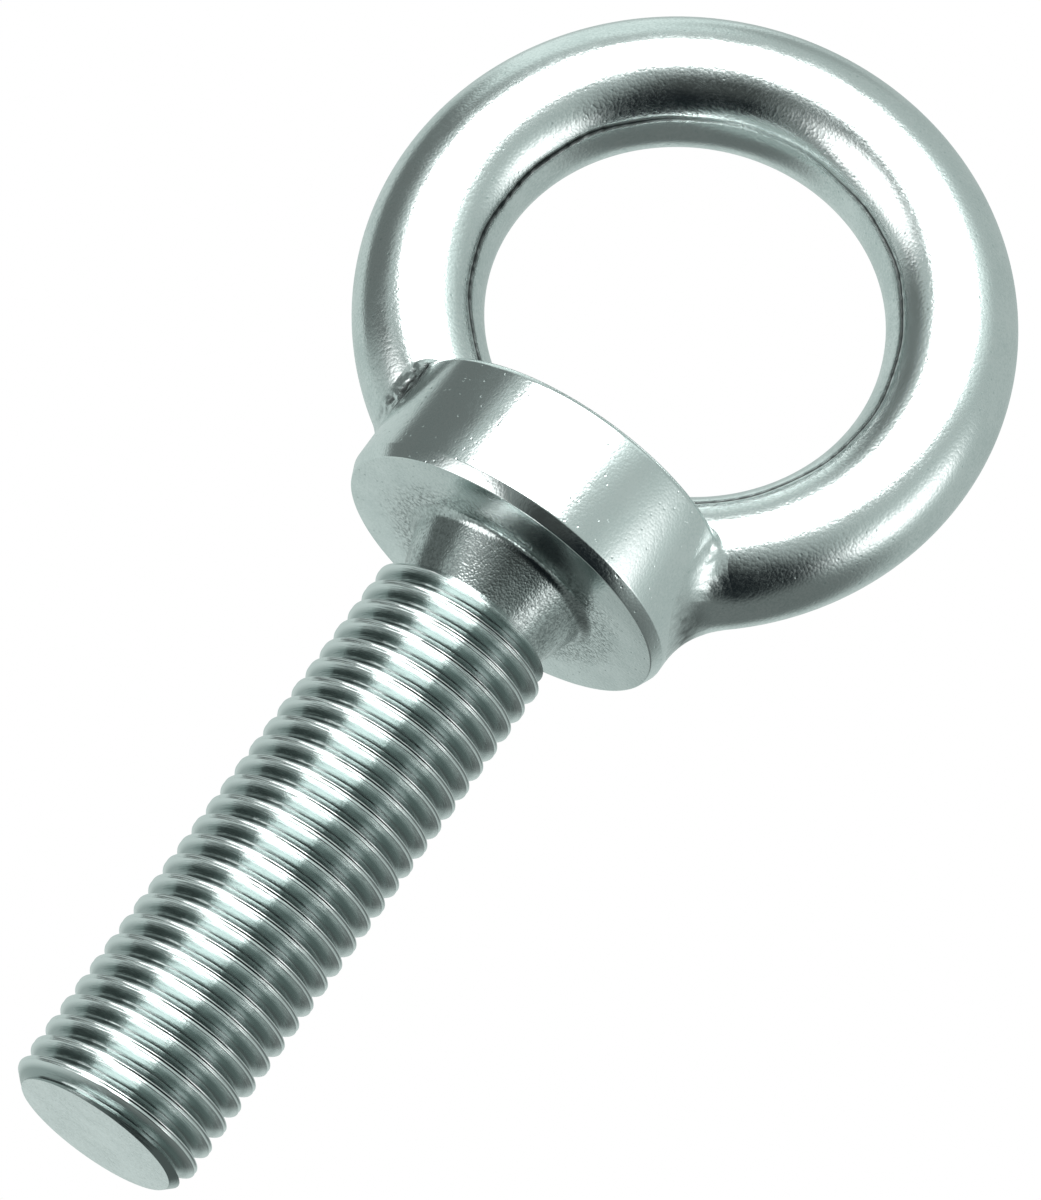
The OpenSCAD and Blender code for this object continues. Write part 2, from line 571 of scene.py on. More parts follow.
@dataclass(frozen=True)
class SteelFinish:
    """One finish of the bolt's stainless steel, with its own values for the shared effects."""

    slot: Slot
    bright: Colour
    dull_and_shade: Colour
    smooth: float
    rough: float
    grain_cells: float
    grain_depth: float
    pit_depth: float
    ripple_cells: float
    ripple_depth: float
    domes: float = 1.0
    threaded: bool = False
    paints_shade: bool = False
    coarse_by_neck: float = 0.0
    # colour of the painted shade specks on the seat round the neck
    neck_shade: Colour = (0.10, 0.13, 0.125)

    def build(self, effects: SurfaceEffects, sizes: BoltSizes, name: str = "") -> bpy.types.Material:
        """Makes the material.

        Args:
            effects: The shared node groups.
            sizes: The bolt's sizes, for the thread's groove mask.
            name: Name of the material, or the slot's own.

        Returns:
            The material.
        """
        material = bpy.data.materials.new(name or self.slot.value)
        material.use_nodes = True
        b = NodeBench(material.node_tree)
        where = b.add("ShaderNodeTexCoord").outputs["Object"]
        shader = b.add("ShaderNodeBsdfPrincipled")
        shader.inputs["Metallic"].default_value = 1.0
        shader.inputs["Specular IOR Level"].default_value = 0.5
        grain = b.add("ShaderNodeGroup", node_tree=effects.grain)
        b.feed(grain.inputs["Vector"], where)
        b.feed(grain.inputs["Cells per metre"], self.grain_cells)
        near_neck = self._near_neck(b, effects, where)
        b.feed(grain.inputs["Grain height"], b.math("MULTIPLY_ADD", near_neck, self.coarse_by_neck, 1.0))
        b.feed(grain.inputs["Pit depth"], self.pit_depth)
        b.feed(grain.inputs["Domes"], self.domes)
        ripple = b.add("ShaderNodeGroup", node_tree=effects.ripple)
        b.feed(ripple.inputs["Vector"], where)
        b.feed(ripple.inputs["Cells per metre"], self.ripple_cells)
        haze = b.add("ShaderNodeGroup", node_tree=effects.haze)
        b.feed(haze.inputs["Vector"], where)
        b.feed(haze.inputs["Bright"], (*self.bright, 1.0))
        # the thread's darker colour goes only to painted shade in its grooves, not to the haze
        b.feed(haze.inputs["Dull"], (*(self.bright if self.threaded else self.dull_and_shade), 1.0))
        b.feed(haze.inputs["Smooth"], self.smooth)
        b.feed(haze.inputs["Rough"], self.rough)
        b.feed(haze.inputs["Pits"], grain.outputs["Pits"])
        normal = self._bump(b, ripple.outputs["Height"], self.ripple_depth, None)
        normal = self._bump(b, grain.outputs["Height"], self.grain_depth, normal)
        colour, gloss = haze.outputs["Color"], haze.outputs["Roughness"]
        if self.threaded:
            lines = b.add("ShaderNodeGroup", node_tree=effects.thread_lines)
            b.feed(lines.inputs["Vector"], where)
            b.feed(lines.inputs["Pitch"], ThreadedShank.pitch)
            b.feed(lines.inputs["Root radius"], sizes.thread_radius - ThreadedShank.depth)
            b.feed(lines.inputs["Crest radius"], sizes.thread_radius)
            normal = self._bump(b, lines.outputs["Height"], ThreadedShank.line_depth, normal)
            # painted shade: the thread darkens towards the roots of its grooves, blended towards its darker colour
            colour = b.blend(b.span(lines.outputs["Groove"], (0.08, 0.6), (0.0, 0.9)), colour, (*self.dull_and_shade, 1.0))
        if self.coarse_by_neck:
            # painted shade: dark specks over the seat round the neck's foot
            neck_shade_specks = b.span(b.speckle(where, 2100.0, detail=3.0, roughness=0.7), (0.44, 0.60))
            colour = b.blend(b.math("MULTIPLY", b.math("MULTIPLY", near_neck, neck_shade_specks), 0.65), colour, (*self.neck_shade, 1.0))
        # painted shade: a point attribute darkens the eye's punched line, and the roots' pockets, crease and the
        # underside of the -X leg's root, almost to black
        if self.paints_shade:
            painted_shade = b.add("ShaderNodeAttribute", attribute_name=LiftingEye.painted_shade).outputs["Fac"]
            colour = b.blend(painted_shade, colour, (0.015, 0.02, 0.02, 1.0))
            gloss = b.math("MAXIMUM", gloss, b.math("MULTIPLY", painted_shade, 0.6))
        b.feed(shader.inputs["Base Color"], colour)
        b.feed(shader.inputs["Roughness"], gloss)
        b.feed(shader.inputs["Normal"], normal)
        b.feed(b.add("ShaderNodeOutputMaterial").inputs["Surface"], shader.outputs[0])
        return material

    def _near_neck(self, b: NodeBench, effects: SurfaceEffects, where: bpy.types.NodeSocket) -> object:
        """How near a point is to the neck, where the grain coarsens and painted shade specks darken the seat.

        Args:
            b: The material's bench.
            effects: The shared node groups.
            where: Object coordinates.

        Returns:
            0, or a socket with a mask from 0 to 1.
        """
        if not self.coarse_by_neck:
            return 0.0
        zone = b.add("ShaderNodeGroup", node_tree=effects.neck_zone)
        b.feed(zone.inputs["Vector"], where)
        b.feed(zone.inputs["Inner radius"], 11.2 * MM)
        b.feed(zone.inputs["Outer radius"], 15.2 * MM)
        return zone.outputs["Mask"]

    @staticmethod
    def _bump(b: NodeBench, height: bpy.types.NodeSocket, depth: float, under: bpy.types.NodeSocket | None) -> bpy.types.NodeSocket:
        """Adds a bump on top of another normal.

        Args:
            b: The material's bench.
            height: The height from 0 to 1.
            depth: Its full depth in metres.
            under: The normal beneath, if any.

        Returns:
            The bumped normal.
        """
        bump = b.add("ShaderNodeBump")
        bump.inputs["Distance"].default_value = depth
        b.feed(bump.inputs["Height"], height)
        if under is not None:
            b.feed(bump.inputs["Normal"], under)
        return bump.outputs[0]


# ------------------------------------------------------------------ pieces


@dataclass
class BoltPiece:
    """A piece of the bolt that stands for one CAD node."""

    sizes: BoltSizes

    def mount(self, piece: bpy.types.Object, node: str, finish: bpy.types.Material, slot: Slot) -> bpy.types.Object:
        """Dresses a piece and ties it to the CAD model.

        Args:
            piece: The finished mesh.
            node: The CAD node that it stands for.
            finish: Its material.
            slot: The record's material slot; not used.

        Returns:
            The piece.
        """
        piece.name = piece.data.name = f"{node}_finished"
        piece.data.materials.clear()
        piece.data.materials.append(finish)
        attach(piece, "root")
        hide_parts(node)
        LOG.info("%s: %d vertices, %d faces", piece.name, len(piece.data.vertices), len(piece.data.polygons))
        return piece


def collar_outline(sizes: BoltSizes) -> list[Point]:
    """Outline of the whole collar from the axis at the top to the axis at the seat.

    Args:
        sizes: The bolt's sizes.

    Returns:
        (radius, height) points.
    """
    r, h = sizes.collar_radius, sizes.collar_height
    top = Collar.top_round
    slope_in, slope_up = Collar.rim_depth, Collar.rim_rise
    soft = Collar.rim_soft
    lean = math.degrees(math.atan2(slope_in, slope_up))
    seat_corner = (r - slope_in - soft * 0.4, soft)
    points: list[Point] = [(0.0, h)]
    points += arc((r - top, h - top), top, 90, 0, 7)
    upper = (r - 3 * soft, slope_up)
    points += arc(upper, 3 * soft, 0, -lean, 4)
    points += arc(seat_corner, soft, -lean, -90, 6)
    points.append((0.0, 0.0))
    return points


def neck_foot(sizes: BoltSizes) -> float:
    """Radius at which the neck's flare meets the seat, with its worn-in outer edge.

    Args:
        sizes: The bolt's sizes.

    Returns:
        The radius in metres.
    """
    return sizes.foot_radius + 0.6 * MM


@dataclass
class Collar(BoltPiece):
    """The thick round collar, with a softened top edge and a worn, steep rim round the seat."""

    top_round = 0.75 * MM
    rim_depth = 0.62 * MM
    rim_rise = 1.45 * MM
    rim_soft = 0.18 * MM
    bore_depth = 4.0 * MM

    def build(self) -> bpy.types.Object:
        """Turns the collar and sinks the neck's recess into it.

        Returns:
            The mesh object.
        """
        piece = turn("collar_mesh", collar_outline(self.sizes))
        foot = neck_foot(self.sizes)
        floor_test = lambda f: abs(f.normal.z + 1) < 1e-3 and f.calc_center_median().z < 0.05 * MM
        pick_faces(piece, floor_test)
        bpy.ops.mesh.dissolve_faces()
        bpy.ops.mesh.select_mode(type="FACE")
        seat = self.sizes.collar_radius - self.rim_depth - 0.4 * self.rim_soft
        bpy.ops.mesh.inset(thickness=seat - foot)
        bpy.ops.mesh.extrude_region_move(TRANSFORM_OT_translate={"value": (0, 0, self.bore_depth)})
        close_up(piece)
        shade(piece, 22)
        return piece


@dataclass
class Neck(BoltPiece):
    """The plain neck with its concave fillet up to the seat."""

    spigot = 4.0 * MM
    fillet = 1.3 * MM

    def build(self) -> bpy.types.Object:
        """Turns the neck.

        Returns:
            The mesh object.
        """
        end, foot = self.sizes.neck_end, neck_foot(self.sizes)
        radius = self.sizes.thread_radius - 2.0 * MM
        points: list[Point] = [(0.0, self.spigot), (foot, self.spigot)]
        lean = math.degrees(math.atan2(foot - self.fillet - radius, -end - 0.6 * self.fillet))
        points += arc((foot, -self.fillet), self.fillet, 90, 180 - lean, 10)
        points.append((radius + 0.12 * MM, end + 0.5 * MM))
        points += [(radius, end), (0.0, end)]
        piece = turn("neck_mesh", points)
        shade(piece, 40)
        return piece


@dataclass
class LiftingEye(BoltPiece):
    """The round eye with the punched line round its inside, the line's groove darkened with painted shade."""

    line_angle = 142.0
    line_depth = 0.13 * MM
    step_depth = 0.03 * MM
    around = 300
    across = 180
    painted_shade = "painted_shade"

    def build(self) -> bpy.types.Object:
        """Forms the ring, scores the line and cuts away what is inside the collar.

        Returns:
            The mesh object.
        """
        s = self.sizes
        leave_edit_mode()
        bpy.ops.mesh.primitive_torus_add(
            location=(0, 0, s.eye_height),
            rotation=(math.pi / 2, 0, 0),
            major_segments=self.around,
            minor_segments=self.across,
            major_radius=s.eye_ring,
            minor_radius=s.eye_wire,
        )
        piece = bpy.context.object
        bpy.ops.object.transform_apply(location=True, rotation=True, scale=True)
        self._score_line(piece)
        cut_with(piece, turn("collar_cutter", collar_outline(s)), "DIFFERENCE")
        close_up(piece)
        shade(piece, 40)
        return piece

    def _score_line(self, piece: bpy.types.Object) -> None:
        """Moves the ring's edge loops onto the punched line, presses the line in and stores painted shade for its
        groove.

        Args:
            piece: The ring.
        """
        s = self.sizes
        co = np.zeros(len(piece.data.vertices) * 3)
        piece.data.vertices.foreach_get("co", co)
        co = co.reshape(-1, 3)
        around = np.arctan2(co[:, 2] - s.eye_height, co[:, 0])
        out = np.hypot(co[:, 0], co[:, 2] - s.eye_height) - s.eye_ring
        tube = np.degrees(np.arctan2(co[:, 1], out))
        step = 360.0 / self.across
        mirror = np.where(tube < 0, -1.0, 1.0)
        tube = np.abs(tube)
        home = round(self.line_angle / step) * step
        wander = self._wander(around, mirror)
        moved = tube + wander * np.exp(-(((tube - home) / 30.0) ** 2))
        strength = self._strength(around, mirror)
        offset = (tube - home) / step
        line = np.exp(-((offset / 0.75) ** 2))
        groove = line * self.line_depth
        land = np.clip((tube - home) / (2 * step), 0, 1) * self.step_depth
        radius = s.eye_wire - strength * (groove + land * np.clip((180 - tube) / 12, 0, 1))
        angle = np.radians(moved) * mirror
        reach = s.eye_ring + radius * np.cos(angle)
        co[:, 0] = reach * np.cos(around)
        co[:, 1] = radius * np.sin(angle)
        co[:, 2] = s.eye_height + reach * np.sin(around)
        piece.data.vertices.foreach_set("co", co.ravel())
        # painted shade: how dark the punched line's groove is painted, strongest in its middle and ragged along the
        # ring
        shade_attribute = piece.data.attributes.new(self.painted_shade, "FLOAT", "POINT")
        ragged = 0.22 * np.sin(61 * around + 3 * mirror) * np.sin(23 * around) + 0.18 * np.sin(97 * around + mirror)
        broad = 1.0 + 0.6 * np.exp(-(((around - math.radians(5.0)) / math.radians(40.0)) ** 2)) + ragged
        shade_attribute.data.foreach_set("value", np.clip(1.35 * np.exp(-((offset / broad) ** 2)) * strength, 0, 1))
        piece.data.update()

    @staticmethod
    def _wander(around: np.ndarray, side: np.ndarray) -> np.ndarray:
        """How far the line strays from its mean place, in degrees round the section.

        Args:
            around: Angle round the ring from +X, in radians.
            side: 1 on the +Y side and -1 on the other.

        Returns:
            The offset in degrees.
        """
        slow = 10.0 * np.cos(around - math.radians(70.0)) * side
        return slow + 0.9 * np.sin(7 * around + side) + 0.6 * np.sin(17 * around + 2 * side)

    @staticmethod
    def _strength(around: np.ndarray, side: np.ndarray) -> np.ndarray:
        """How clearly the line shows, from 0 to 1; it fades over the top of the eye.

        Args:
            around: Angle round the ring from +X, in radians.
            side: 1 on the +Y side and -1 on the other.

        Returns:
            The strength.
        """
        fade = np.exp(-(((around - math.radians(80.0)) / math.radians(32.0)) ** 2))
        return 1.0 - 0.8 * fade


@dataclass
class EyeRoots(BoltPiece):
    """The forged fillets that blend the eye into the collar, all the way round its legs.

    The strip is made by calculation, since its radius changes along a curved joint.
    """

    side_reach = 1.5 * MM
    top_reach = 0.8 * MM
    under_reach = {-1: 3.4 * MM, 1: 1.6 * MM}
    columns = 150
    rows = 18
    tuck = 0.008 * MM
    keel_depth = 0.35 * MM

    def build(self) -> bpy.types.Object:
        """Builds the closed strip round both legs.

        Returns:
            The mesh object.
        """
        loop = self._joint_loop()
        towards_eye, towards_collar = self._directions(loop)
        wedge = np.linalg.norm(np.cross(towards_eye, towards_collar), axis=1)
        reach = self._reach(loop) / np.clip(wedge, 0.35, 1)
        rows = []
        for i in range(self.rows + 1):
            share = 2 * i / self.rows - 1
            direction = towards_eye if share < 0 else towards_collar
            rows.append(self._settle(loop + direction * (abs(share) * reach * 1.04)[:, None]))
        grid, shade_amount = self._roughen(np.stack(rows))
        out = self._slope(self._blended, grid.reshape(-1, 3)).reshape(grid.shape)
        grid[[0, -1]] -= out[[0, -1]] * self.tuck
        inward = self._slope(self._eye, loop) + self._slope(self._collar, loop)
        keel = loop - self.keel_depth * inward / np.linalg.norm(inward, axis=1, keepdims=True)
        grid = np.concatenate([grid, keel[None]])
        shade_amount = np.concatenate([shade_amount, np.zeros((1, shade_amount.shape[1]))])
        return self._skin(grid, shade_amount)

    def _eye(self, p: np.ndarray) -> np.ndarray:
        """Distance from points to the eye's surface."""
        s = self.sizes
        out = np.hypot(p[:, 0], p[:, 2] - s.eye_height) - s.eye_ring
        return np.hypot(out, p[:, 1]) - s.eye_wire

    def _collar(self, p: np.ndarray) -> np.ndarray:
        """Distance from points to the collar's surface."""
        s, edge = self.sizes, Collar.top_round
        a = np.hypot(p[:, 0], p[:, 1]) - (s.collar_radius - edge)
        c = np.abs(p[:, 2] - s.collar_height / 2) - (s.collar_height / 2 - edge)
        outside = np.hypot(np.maximum(a, 0), np.maximum(c, 0))
        return outside + np.minimum(np.maximum(a, c), 0) - edge

    def _reach(self, p: np.ndarray) -> np.ndarray:
        """How far the fillet reaches at each point: most under a leg, least on top of the collar."""
        s = self.sizes
        out = np.hypot(p[:, 0], p[:, 2] - s.eye_height) - s.eye_ring
        under = np.clip((out / np.maximum(np.hypot(out, p[:, 1]), 1e-9) - 0.1) / 0.8, 0, 1)
        under = under * under * (3 - 2 * under)
        most = np.where(p[:, 0] < 0, self.under_reach[-1], self.under_reach[1])
        high = np.clip((p[:, 2] - s.collar_height + 1.0 * MM) / (1.2 * MM), 0, 1)
        plain = self.side_reach + (self.top_reach - self.side_reach) * high
        return plain + (most - plain) * under

    def _blended(self, p: np.ndarray) -> np.ndarray:
        """Distance to the eye and collar joined by a smooth fillet."""
        a, b, k = self._eye(p), self._collar(p), self._reach(p)
        h = np.maximum(k - np.abs(a - b), 0) / k
        return np.minimum(a, b) - h * h * k / 4

    @staticmethod
    def _slope(distance: Callable[[np.ndarray], np.ndarray], p: np.ndarray) -> np.ndarray:
        """Unit direction in which a distance grows fastest."""
        step = 0.002 * MM
        parts = [distance(p + step * axis) - distance(p - step * axis) for axis in np.eye(3)]
        slope = np.stack(parts, axis=1)
        return slope / np.maximum(np.linalg.norm(slope, axis=1, keepdims=True), 1e-12)

    def _settle(self, p: np.ndarray) -> np.ndarray:
        """Moves points onto the blended surface."""
        for _ in range(14):
            p = p - self._slope(self._blended, p) * self._blended(p)[:, None]
        return p

    def _on_eye(self, around: np.ndarray, tube: np.ndarray) -> np.ndarray:
        """Points on the eye's surface at given angles."""
        s = self.sizes
        reach = s.eye_ring + s.eye_wire * np.cos(tube)
        return np.stack([reach * np.cos(around), s.eye_wire * np.sin(tube), s.eye_height + reach * np.sin(around)], axis=1)

    def _joint_loop(self) -> np.ndarray:
        """Follows the sharp joint of eye and collar once round.

        Returns:
            Points of the closed loop, evenly spaced.
        """
        s = self.sizes
        bottom = s.eye_height - s.eye_ring
        last = math.pi - math.acos((s.collar_height - bottom) / s.eye_wire)
        tube = last * (1 - np.linspace(1, 0, 3000) ** 2)
        low, high = np.full(tube.shape, -math.pi / 2), np.full(tube.shape, -math.radians(12))
        for _ in range(48):
            middle = (low + high) / 2
            inside = self._collar(self._on_eye(middle, tube)) < 0
            low, high = np.where(inside, middle, low), np.where(inside, high, middle)
        quarter = self._on_eye((low + high) / 2, tube)
        quarter[0, 1] = 0.0
        quarter[-1, 0] = 0.0
        length = np.concatenate([[0], np.cumsum(np.linalg.norm(np.diff(quarter, axis=0), axis=1))])
        even = np.linspace(0, length[-1], self.columns + 1)
        quarter = np.stack([np.interp(even, length, quarter[:, i]) for i in range(3)], axis=1)
        flip_x, flip_y = np.array([-1, 1, 1]), np.array([1, -1, 1])
        front = np.concatenate([quarter[:-1], (quarter * flip_x)[::-1][:-1]])
        back = np.concatenate([(quarter * flip_x * flip_y)[:-1], (quarter * flip_y)[::-1][:-1]])
        return np.concatenate([front, back])

    def _directions(self, loop: np.ndarray) -> tuple[np.ndarray, np.ndarray]:
        """Directions away from the joint along the eye and along the collar.

        Args:
            loop: Points of the joint.

        Returns:
            Unit vectors along the eye's surface and along the collar's.
        """
        eye, collar = self._slope(self._eye, loop), self._slope(self._collar, loop)
        cosine = (eye * collar).sum(axis=1, keepdims=True)
        along_eye, along_collar = collar - cosine * eye, eye - cosine * collar
        unit = lambda v: v / np.linalg.norm(v, axis=1, keepdims=True)
        return unit(along_eye), unit(along_collar)

    def _roughen(self, grid: np.ndarray) -> tuple[np.ndarray, np.ndarray]:
        """Leaves the fillet lumpy, as trimmed forging flash is, most of all at the +X leg's front.

        Args:
            grid: Rows of points across the fillet.

        Returns:
            The grid with its lumps, and the painted shade of each point: in pockets between lumps, along the crease
            and under the -X leg's root.
        """
        out = self._slope(self._blended, grid.reshape(-1, 3)).reshape(grid.shape)
        rise, shade_amount = np.zeros(grid.shape[:2]), np.zeros(grid.shape[:2])
        for i in range(grid.shape[0]):
            across = math.sin(math.pi * i / self.rows) ** 2
            for j in range(grid.shape[1]):
                p = Vector(grid[i, j]) / MM
                coarse = 1.0 if p.x > 0 and p.y > 0 else 0.25
                coarse *= min(max((p.z - 5.5) / 2.5, 0.0), 1.0)
                lump = noise.noise(p * 1.1) + 0.5 * noise.noise(p * 2.6)
                rise[i, j] = across * coarse * 0.24 * lump
                # painted shade: the crease along the fillet, the pockets between lumps and the underside of the -X
                # leg's root are darkened
                crease = math.exp(-(((i - self.rows * 0.80) / 1.6) ** 2)) * (1.05 + 0.7 * noise.noise(p * 1.7))
                pocket = min(max(-3.2 * lump - 0.10, 0.0), 0.9) * across
                shadow = 0.0
                if p.x < 0:
                    shadow = 0.8 * min(max((7.5 - p.z) / 3.0, 0.0), 1.0) * (across + 0.4 * noise.noise(p * 1.7))
                shade_amount[i, j] = min(max(max(coarse - 0.25, 0.0) / 0.75 * max(crease, pocket), shadow, 0.0), 1.0)
        return grid + out * rise[..., None] * MM, shade_amount

    @staticmethod
    def _skin(grid: np.ndarray, shade_amount: np.ndarray) -> bpy.types.Object:
        """Turns the grid into a closed strip.

        Args:
            grid: Rows of points, each a closed loop.
            shade_amount: Painted shade of each point, from 0 to 1.

        Returns:
            The mesh object.
        """
        rows, columns = grid.shape[:2]
        faces = [
            (i * columns + j, i * columns + (j + 1) % columns, (i + 1) % rows * columns + (j + 1) % columns, (i + 1) % rows * columns + j)
            for i in range(rows)
            for j in range(columns)
        ]
        mesh = bpy.data.meshes.new("roots_mesh")
        mesh.from_pydata([tuple(p) for p in grid.reshape(-1, 3)], [], faces)
        mesh.attributes.new(LiftingEye.painted_shade, "FLOAT", "POINT").data.foreach_set("value", shade_amount.ravel())
        piece = bpy.data.objects.new("roots_mesh", mesh)
        bpy.context.scene.collection.objects.link(piece)
        close_up(piece)
        shade(piece, 40)
        return piece


@dataclass
class ThreadedShank(BoltPiece):
    """The shank with its right-hand coarse thread, softened crests and chamfered end."""

    pitch = 2.5 * MM
    depth = 1.42 * MM
    crest_at_x_axis = -37.185 * MM
    line_depth = 0.03 * MM
    end_radius = 8.6 * MM
    rim = 0.11 * MM
    seam = 0.17 * MM
    steps = 128

    def build(self) -> bpy.types.Object:
        """Winds the thread, closes its ends and trims them to shape.

        Returns:
            The mesh object.
        """
        s = self.sizes
        below = math.ceil((self.crest_at_x_axis - s.tip) / self.pitch) + 2
        start = self.crest_at_x_axis - below * self.pitch
        turns = math.ceil((-5 * MM - start) / self.pitch) + 2
        profile = [(r, start + z) for r, z in self._ridge()]
        piece = draw_profile("thread_mesh", profile)
        make_active(piece)
        bpy.ops.object.modifier_add(type="SCREW")
        screw = piece.modifiers[-1]
        screw.axis, screw.angle = "Z", FULL_TURN
        screw.steps = screw.render_steps = self.steps
        screw.iterations, screw.screw_offset = turns, self.pitch
        screw.use_merge_vertices, screw.merge_threshold = True, MERGE
        bpy.ops.object.modifier_apply(modifier=screw.name)
        close_up(piece, 2 * MERGE)
        for height, clear_upper in ((s.tip - 0.8 * MM, False), (-5.2 * MM, True)):
            edit(piece)
            bpy.ops.mesh.select_all(action="SELECT")
            bpy.ops.mesh.bisect(
                plane_co=(0, 0, height), plane_no=(0, 0, 1), use_fill=True, threshold=0.01 * MERGE,
                clear_outer=clear_upper, clear_inner=not clear_upper,
            )
        close_up(piece)
        cut_with(piece, self._envelope(), "INTERSECT")
        close_up(piece)
        shade(piece, 36)
        return piece

    def _ridge(self) -> list[Point]:
        """One turn of the thread from root to root, its crest at the middle with a fine seam.

        Returns:
            (radius, height) points, the crest at height 0.
        """
        crest, half, rim = self.sizes.thread_radius, self.pitch / 2, self.rim
        centre = (crest - rim, -self.seam - rim * 0.3)
        foot_r, foot_z = crest - rim / 2, centre[1] - rim * math.sin(math.radians(60))
        flank = lambda drop: (foot_r - drop, foot_z - drop * math.tan(math.radians(30)))
        deepest = self.depth - rim / 2
        lower = [
            (crest - self.depth, -half),
            (crest - self.depth + 0.03 * MM, -half + 0.09 * MM),
            flank(deepest - 0.17 * MM),
            flank(deepest - 0.45 * MM),
            (flank(0.52 * MM)[0] + 0.03 * MM, flank(0.52 * MM)[1]),
            flank(0.36 * MM),
            flank(0.12 * MM),
        ]
        lower += arc(centre, rim, -60, 48, 5)
        lower += [(crest - 0.105 * MM, -0.03 * MM), (crest - 0.11 * MM, 0.0)]
        upper = [(r, -z) for r, z in reversed(lower[:-1])]
        return lower + upper

    def face_end(self, piece: bpy.types.Object, finish: bpy.types.Material) -> None:
        """Gives the sawn end face its own finish.

        Args:
            piece: The finished shank.
            finish: Material of the end face.
        """
        piece.data.materials.append(finish)
        for polygon in piece.data.polygons:
            if polygon.normal.z < -0.95 and polygon.center.z < self.sizes.tip + 0.03 * MM:
                polygon.material_index = 1

    def _envelope(self) -> bpy.types.Object:
        """Outer limits of the shank: flat end, chamfer and the run-out cone under the neck.

        Returns:
            A closed solid.
        """
        s = self.sizes
        full = s.thread_radius + 0.05 * MM
        chamfer = full - self.end_radius
        points: list[Point] = [
            (0.0, s.tip),
            (self.end_radius, s.tip),
            (full, s.tip + chamfer),
            (full, -7.0 * MM),
            (full - 1.5 * MM, -5.9 * MM),
            (8.1 * MM, -5.75 * MM),
            (0.0, -5.75 * MM),
        ]
        return turn("shank_envelope", points, 160)


# ------------------------------------------------------------------ studio


@dataclass(frozen=True)
class Panel:
    """A light or dark panel of the studio, far off, as the steel reflects it."""

    name: str
    azimuth: float
    elevation: float
    half_width: float
    half_height: float
    softness: float
    light: Colour
    shape: PanelShape = PanelShape.ROUND
    roll: float = 0.0

    def axes(self) -> tuple[Vector, Vector, Vector]:
        """Directions of the panel's middle, its width and its height."""
        a, e, r = (math.radians(x) for x in (self.azimuth, self.elevation, self.roll))
        middle = Vector((math.cos(a) * math.cos(e), math.sin(a) * math.cos(e), math.sin(e)))
        across = Vector((-math.sin(a), math.cos(a), 0))
        up = middle.cross(across)
        return middle, across * math.cos(r) + up * math.sin(r), up * math.cos(r) - across * math.sin(r)


GREY_GREEN = (0.93, 1.06, 1.03)


def tone(level: float) -> Colour:
    """A grey of the studio with its slight green cast.

    Args:
        level: Brightness.

    Returns:
        The colour.
    """
    return tuple(level * c for c in GREY_GREEN)


